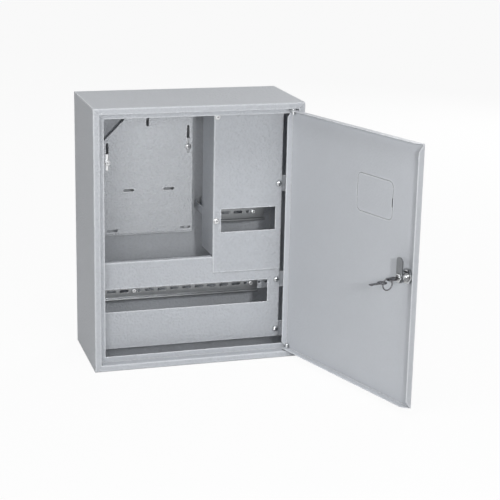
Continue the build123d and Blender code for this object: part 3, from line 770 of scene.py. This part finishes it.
# %% Places of ring and spare key
ring_radius = 10.0
wire_radius = 0.75
hang_play = 0.1
stack_gap = 1.2
spare_bow = 15.0
ring_along = barrel_end + first_bow - web / 2
ring_drop = math.sqrt((ring_radius - wire_radius) ** 2 - (web / 2) ** 2) - key_sheet / 2
ring_height = hang_play - ring_drop
spare_height = -key_sheet - stack_gap
rise = spare_height - ring_height
ring_side = math.sqrt(ring_radius ** 2 - rise ** 2)
wire_reach = (wire_radius * ring_radius + key_sheet / 2 * rise) / ring_side
spare_hole = ring_along + ring_side + ring_hole - wire_reach - hang_play
spare_along = spare_hole + spare_bow - web - ring_hole
print("ring at", round(ring_height, 3), round(ring_along, 3), "spare key at", round(spare_along, 3))

# %% The spare key
turned_round = Matrix.Rotation(math.pi, 4, "Z")
spare_place = lock_place @ moved(0, spare_height, spare_along) @ along_axis @ turned_round
set_down(cut_key("spare_key", 18.0, spare_bow), spare_place, "lock_cylinder", "key_metal", "key_2")

# %% [markdown]
# ## A split ring
# The ring that holds the two keys is flat wire wound twice. A circle pressed to an oval, a Screw modifier
# of two turns and two filled ends make it, and the hole of the key in the lock carries it.

# %% Two turns of wire
wire_turns = 2
turn_rise = 0.5
wire_half_width = 0.7
wire_half_height = 0.26
bpy.ops.object.select_all(action="DESELECT")
bpy.ops.mesh.primitive_circle_add(
    vertices=14,
    radius=mm,
    location=(ring_radius * mm, 0, -turn_rise * mm),
    rotation=(math.pi / 2, 0, 0),
    scale=(wire_half_width, wire_half_height, 1),
)
split_ring = bpy.context.object
split_ring.name = "split_ring"
bpy.ops.object.transform_apply(location=True, rotation=True, scale=True)
wound = split_ring.modifiers.new("wound", "SCREW")
wound.axis = "Z"
wound.angle = math.tau
wound.screw_offset = turn_rise * mm
wound.iterations = wire_turns
wound.steps = round_steps
wound.render_steps = round_steps
bpy.ops.object.modifier_apply(modifier=wound.name)
bpy.ops.object.mode_set(mode="EDIT")
bpy.ops.mesh.select_all(action="SELECT")
bpy.ops.mesh.fill_holes(sides=0)
bpy.ops.mesh.select_all(action="SELECT")
bpy.ops.mesh.normals_make_consistent(inside=False)
bpy.ops.object.mode_set(mode="OBJECT")
ring_place = lock_place @ moved(0, ring_height, ring_along) @ Matrix.Rotation(math.pi / 2, 4, "Y")
set_down(split_ring, ring_place, "lock_cylinder", "key_metal", "key_ring")

# %% [markdown]
# ## Floor and sky
# A product picture on white: a pale floor and a pale sky that are white to the camera and in reflections.
# To the soft light that fills the shadows the sky is nearly dark, or it would wash out the inside of the
# cabinet. The floor keeps a small share of its own paper, on which the shadow shows.

# %% Floor
floor_gap = 0.5 * mm
white_share = 0.94
bpy.ops.mesh.primitive_plane_add(size=14.0, location=(0, 0, cad_box[0].z - floor_gap))
floor = bpy.context.object
floor.name = "floor"
paper = Finish("white_paper", Roughness=0.9, Base_Color=(0.86, 0.86, 0.86, 1.0))
plainly_seen = ("Is Camera Ray", "Is Glossy Ray", "Is Transmission Ray")
seen = sum(paper.node("ShaderNodeLightPath", {}, {}, ray) for ray in plainly_seen)
white = paper.node("ShaderNodeEmission", {}, {"Color": (1.0, 1.0, 1.0, 1.0), "Strength": 1.0})
bare_paper = Value(paper, paper.surface.outputs[0])
mixed = paper.node("ShaderNodeMixShader", {}, {0: (seen * white_share).clamped(), 1: bare_paper, 2: white})
paper.tree.links.new(mixed.socket, paper.tree.nodes["Material Output"].inputs["Surface"])
floor.data.materials.append(paper.material)
print("floor at", round(floor.location.z, 4))

# %% Sky
world = bpy.data.worlds.new("studio")
bpy.context.scene.world = world
world.use_nodes = True
sky = Wiring(world.node_tree)
seen_sky = sum(sky.node("ShaderNodeLightPath", {}, {}, ray) for ray in plainly_seen)
soft_sky = sky.node("ShaderNodeBackground", {}, {"Color": (0.95, 0.97, 1.0, 1.0), "Strength": 0.04})
white_sky = sky.node("ShaderNodeBackground", {}, {"Color": (1.0, 1.0, 1.0, 1.0), "Strength": 1.0})
shown_sky = sky.node("ShaderNodeMixShader", {}, {0: seen_sky.clamped(), 1: soft_sky, 2: white_sky})
sky.tree.links.new(shown_sky.socket, sky.tree.nodes["World Output"].inputs["Surface"])
print("sky nodes:", len(sky.tree.nodes))

# %% [markdown]
# ## Lamps
# A small box in front draws the crisp shadows behind the slots, and a wide one beside the camera fills
# them. One above and before the front lights the top, the folds and the floor of the cabinet, and one on
# the left lights its side and the open door. The last stands behind, out of the picture, and lights the
# sides that only other views show.

# %% Soft boxes
front_middle = Vector((0.0, -0.2, 0.0))


def soft_box(name, place, width, height, watts):
    """A rectangular lamp that looks at the middle of the cabinet's front."""
    bpy.ops.object.light_add(type="AREA", location=place)
    lamp = bpy.context.object
    lamp.name = name
    lamp.data.shape = "RECTANGLE"
    lamp.data.size = width
    lamp.data.size_y = height
    lamp.data.energy = watts
    lamp.rotation_mode = "QUATERNION"
    lamp.rotation_quaternion = (front_middle - Vector(place)).to_track_quat("-Z", "Y")


soft_box("front_box", place=(0.0, -2.1, 0.55), width=0.16, height=0.16, watts=12.2)
soft_box("wide_front_box", place=(-0.95, -2.5, 0.62), width=1.2, height=0.9, watts=16.0)
soft_box("top_box", place=(-0.1, -0.8, 2.05), width=0.9, height=0.7, watts=18.0)
soft_box("left_box", place=(-2.63, -0.90, 1.27), width=1.0, height=1.0, watts=12.0)
soft_box("back_box", place=(2.0, 1.9, 1.1), width=1.4, height=1.4, watts=34.0)

# %% [markdown]
# ## Camera
# The view was measured on the cabinet's own edges: where they meet fixes the angle and the distance.
# Three directions, right, up and back, make the camera's turn, so no tracking constraint is needed.

# %% Camera
camera_target = Vector((0.09787, -0.195, -0.02902))
camera_distance = 2.6525
camera_azimuth = math.radians(-17.003)
camera_elevation = math.radians(15.736)
camera_roll = math.radians(1.183)
focal_pixels = 1402.0
picture_pixels = 500.0

back = Vector((
    math.sin(camera_azimuth) * math.cos(camera_elevation),
    -math.cos(camera_azimuth) * math.cos(camera_elevation),
    math.sin(camera_elevation),
))
level = Vector((math.cos(camera_azimuth), math.sin(camera_azimuth), 0.0))
upright = back.cross(level)
right = level * math.cos(camera_roll) + upright * math.sin(camera_roll)
up = upright * math.cos(camera_roll) - level * math.sin(camera_roll)
bpy.ops.object.camera_add(location=camera_target + back * camera_distance)
camera = bpy.context.object
camera.data.lens = focal_pixels / picture_pixels * camera.data.sensor_width
camera.rotation_mode = "QUATERNION"
camera.rotation_quaternion = Matrix((right, up, back)).transposed().to_quaternion()
camera.data.clip_end = 50.0
bpy.context.scene.camera = camera
bpy.context.scene.view_settings.view_transform = "Standard"
print("camera lens", round(camera.data.lens, 2), "mm")
